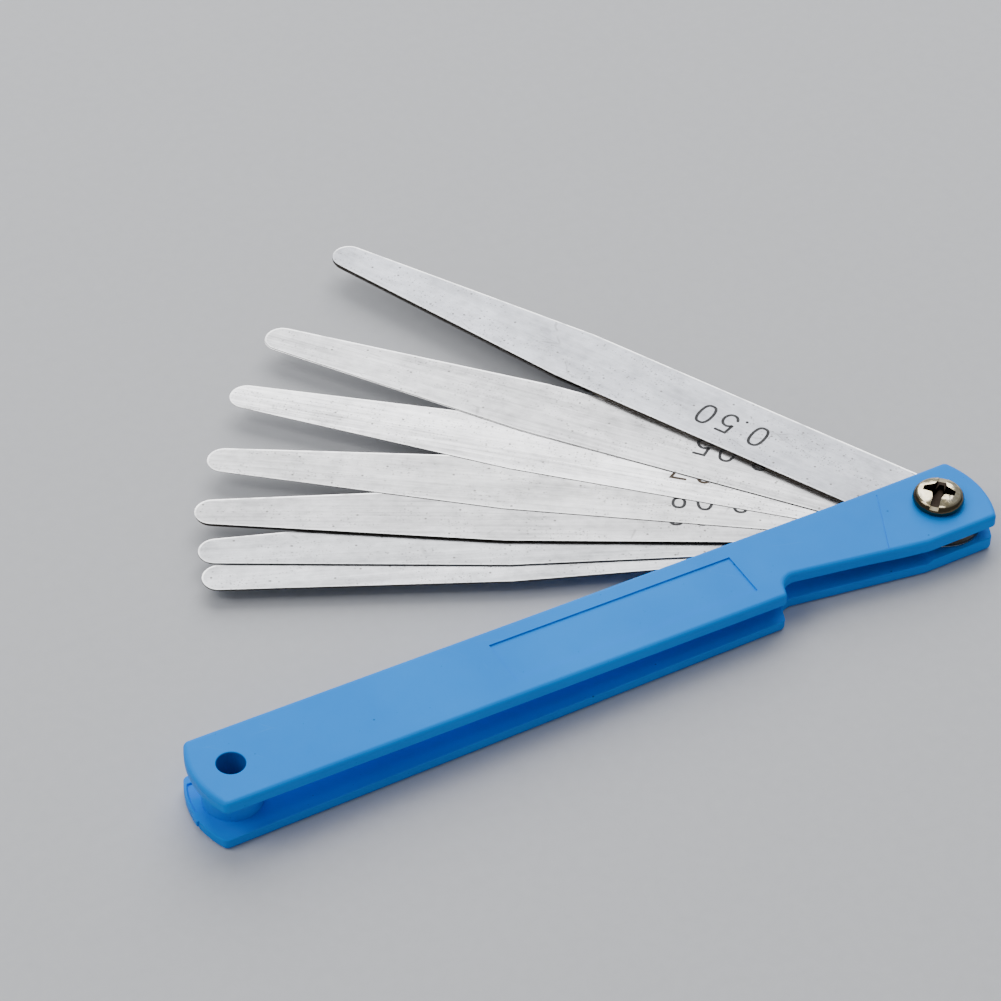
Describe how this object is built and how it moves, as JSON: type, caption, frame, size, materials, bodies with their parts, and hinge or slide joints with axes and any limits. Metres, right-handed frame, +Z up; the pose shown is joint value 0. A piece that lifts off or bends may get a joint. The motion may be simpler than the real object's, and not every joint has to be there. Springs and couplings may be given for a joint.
{
  "type": "feeler gauge",
  "caption": "Folding feeler gauge: thin steel leaves fanned out of a two-cheek plastic handle on a screw pivot, with a finger notch and a lanyard hole.",
  "frame": {"origin": "pivot axis where it meets the underside of the handle, which is the rest plane", "axes": "+Z up through the pivot, the handle's tail and lanyard hole towards -X, the leaves fan out towards +Y, the finger notch is on the -Y side"},
  "size_m": [0.1124, 0.0908, 0.0079],
  "materials": {
    "handle_plastic": "blue injection-moulded plastic, fine satin texture",
    "screw_steel": "bright zinc or nickel plated steel, slightly yellow",
    "nut_steel": "plated steel",
    "leaf_steel": "rolled spring steel with fine lengthwise scratches"
  },
  "bodies": {
    "handle": {"handle": "handle_plastic", "pivot_screw": "screw_steel", "pivot_nut": "nut_steel"},
    "blade_002": {"blade_002": "leaf_steel"},
    "blade_003": {"blade_003": "leaf_steel"},
    "blade_004": {"blade_004": "leaf_steel"},
    "blade_005": {"blade_005": "leaf_steel"},
    "blade_006": {"blade_006": "leaf_steel"},
    "blade_007": {"blade_007": "leaf_steel"},
    "blade_008": {"blade_008": "leaf_steel"},
    "blade_009": {"blade_009": "leaf_steel"},
    "blade_010": {"blade_010": "leaf_steel"},
    "blade_015": {"blade_015": "leaf_steel"},
    "blade_020": {"blade_020": "leaf_steel"},
    "blade_025": {"blade_025": "leaf_steel"},
    "blade_050": {"blade_050": "leaf_steel"}
  },
  "joints": [
    {"name": "swing_002", "type": "hinge", "parent": "handle", "child": "blade_002", "pos_m": [0, 0, 0.003], "axis": [0, 0, -1], "range_deg": [-62.7, 117.3]},
    {"name": "swing_003", "type": "hinge", "parent": "handle", "child": "blade_003", "pos_m": [0, 0, 0.003], "axis": [0, 0, -1], "range_deg": [-62.69, 117.31]},
    {"name": "swing_004", "type": "hinge", "parent": "handle", "child": "blade_004", "pos_m": [0, 0, 0.003], "axis": [0, 0, -1], "range_deg": [-62.68, 117.32]},
    {"name": "swing_005", "type": "hinge", "parent": "handle", "child": "blade_005", "pos_m": [0, 0, 0.003], "axis": [0, 0, -1], "range_deg": [-50.8, 129.2]},
    {"name": "swing_006", "type": "hinge", "parent": "handle", "child": "blade_006", "pos_m": [0, 0, 0.003], "axis": [0, 0, -1], "range_deg": [-50.68, 129.32]},
    {"name": "swing_007", "type": "hinge", "parent": "handle", "child": "blade_007", "pos_m": [0, 0, 0.003], "axis": [0, 0, -1], "range_deg": [-43, 137]},
    {"name": "swing_008", "type": "hinge", "parent": "handle", "child": "blade_008", "pos_m": [0, 0, 0.003], "axis": [0, 0, -1], "range_deg": [-35.1, 144.9]},
    {"name": "swing_009", "type": "hinge", "parent": "handle", "child": "blade_009", "pos_m": [0, 0, 0.003], "axis": [0, 0, -1], "range_deg": [-29, 151]},
    {"name": "swing_010", "type": "hinge", "parent": "handle", "child": "blade_010", "pos_m": [0, 0, 0.003], "axis": [0, 0, -1], "range_deg": [-28.99, 151.01]},
    {"name": "swing_015", "type": "hinge", "parent": "handle", "child": "blade_015", "pos_m": [0, 0, 0.003], "axis": [0, 0, -1], "range_deg": [-28.97, 151.03]},
    {"name": "swing_020", "type": "hinge", "parent": "handle", "child": "blade_020", "pos_m": [0, 0, 0.003], "axis": [0, 0, -1], "range_deg": [-24.7, 155.3]},
    {"name": "swing_025", "type": "hinge", "parent": "handle", "child": "blade_025", "pos_m": [0, 0, 0.003], "axis": [0, 0, -1], "range_deg": [-21.8, 158.2]},
    {"name": "swing_050", "type": "hinge", "parent": "handle", "child": "blade_050", "pos_m": [0, 0, 0.003], "axis": [0, 0, -1], "range_deg": [-62.7, 117.3]}
  ]
}
